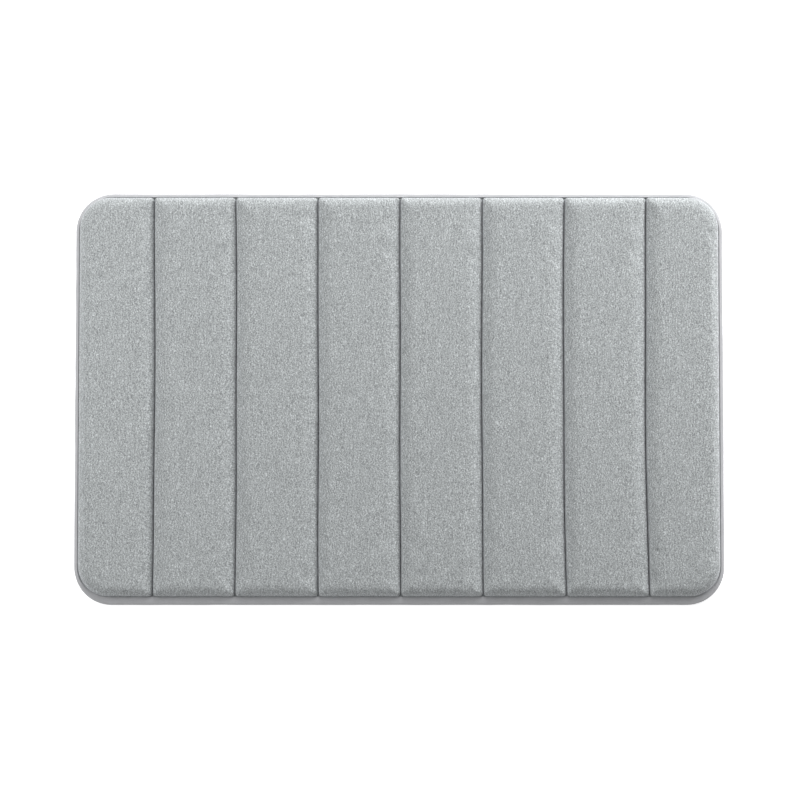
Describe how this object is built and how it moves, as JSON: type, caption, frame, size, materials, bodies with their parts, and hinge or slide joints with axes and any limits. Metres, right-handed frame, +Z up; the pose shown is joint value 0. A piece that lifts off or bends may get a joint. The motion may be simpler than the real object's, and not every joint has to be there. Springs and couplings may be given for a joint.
{
  "type": "bath mat",
  "caption": "Rectangular quilted memory-foam bath mat: padded channels in a soft pile cover, folded binding round the edge and a non-slip backing.",
  "frame": {"origin": "middle of the underside, on the surface the mat lies on", "axes": "+X along the mat's length, +Y from its near edge to its far edge, +Z up through the pile"},
  "size_m": [0.8, 0.508, 0.016],
  "materials": {
    "velour": "matte",
    "binding": "matte",
    "foam": "matte",
    "backing": "matte",
    "thread": "matte"
  },
  "bodies": {
    "channel_1": {"foam_strip_1": "foam", "top_cover_1": "velour", "grip_backing_1": "backing", "binding_left_end": "binding"},
    "channel_2": {"foam_strip_2": "foam", "top_cover_2": "velour", "grip_backing_2": "backing", "binding_front_2": "binding", "binding_back_2": "binding", "seam_thread_1": "thread"},
    "channel_3": {"foam_strip_3": "foam", "top_cover_3": "velour", "grip_backing_3": "backing", "binding_front_3": "binding", "binding_back_3": "binding", "seam_thread_2": "thread"},
    "channel_4": {"foam_strip_4": "foam", "top_cover_4": "velour", "grip_backing_4": "backing", "binding_front_4": "binding", "binding_back_4": "binding", "seam_thread_3": "thread", "seam_thread_4": "thread"},
    "channel_5": {"foam_strip_5": "foam", "top_cover_5": "velour", "grip_backing_5": "backing", "binding_front_5": "binding", "binding_back_5": "binding", "seam_thread_5": "thread"},
    "channel_6": {"foam_strip_6": "foam", "top_cover_6": "velour", "grip_backing_6": "backing", "binding_front_6": "binding", "binding_back_6": "binding", "seam_thread_6": "thread"},
    "channel_7": {"foam_strip_7": "foam", "top_cover_7": "velour", "grip_backing_7": "backing", "binding_front_7": "binding", "binding_back_7": "binding", "seam_thread_7": "thread"},
    "channel_8": {"foam_strip_8": "foam", "top_cover_8": "velour", "grip_backing_8": "backing", "binding_right_end": "binding"}
  },
  "joints": [
    {"name": "seam_3_fold", "type": "hinge", "parent": "channel_4", "child": "channel_3", "pos_m": [-0.0998, 0, 0.0033], "axis": [0, 1, 0], "range_deg": [0, 40], "stiffness_Nm_per_rad": 0.05},
    {"name": "seam_2_fold", "type": "hinge", "parent": "channel_3", "child": "channel_2", "pos_m": [-0.2006, 0, 0.0033], "axis": [0, 1, 0], "range_deg": [0, 40], "stiffness_Nm_per_rad": 0.05},
    {"name": "seam_1_fold", "type": "hinge", "parent": "channel_2", "child": "channel_1", "pos_m": [-0.3014, 0, 0.0033], "axis": [0, 1, 0], "range_deg": [0, 40], "stiffness_Nm_per_rad": 0.05},
    {"name": "seam_4_fold", "type": "hinge", "parent": "channel_4", "child": "channel_5", "pos_m": [0.001, 0, 0.0033], "axis": [0, -1, 0], "range_deg": [0, 40], "stiffness_Nm_per_rad": 0.05},
    {"name": "seam_5_fold", "type": "hinge", "parent": "channel_5", "child": "channel_6", "pos_m": [0.1018, 0, 0.0033], "axis": [0, -1, 0], "range_deg": [0, 40], "stiffness_Nm_per_rad": 0.05},
    {"name": "seam_6_fold", "type": "hinge", "parent": "channel_6", "child": "channel_7", "pos_m": [0.2026, 0, 0.0033], "axis": [0, -1, 0], "range_deg": [0, 40], "stiffness_Nm_per_rad": 0.05},
    {"name": "seam_7_fold", "type": "hinge", "parent": "channel_7", "child": "channel_8", "pos_m": [0.3034, 0, 0.0033], "axis": [0, -1, 0], "range_deg": [0, 40], "stiffness_Nm_per_rad": 0.05}
  ]
}
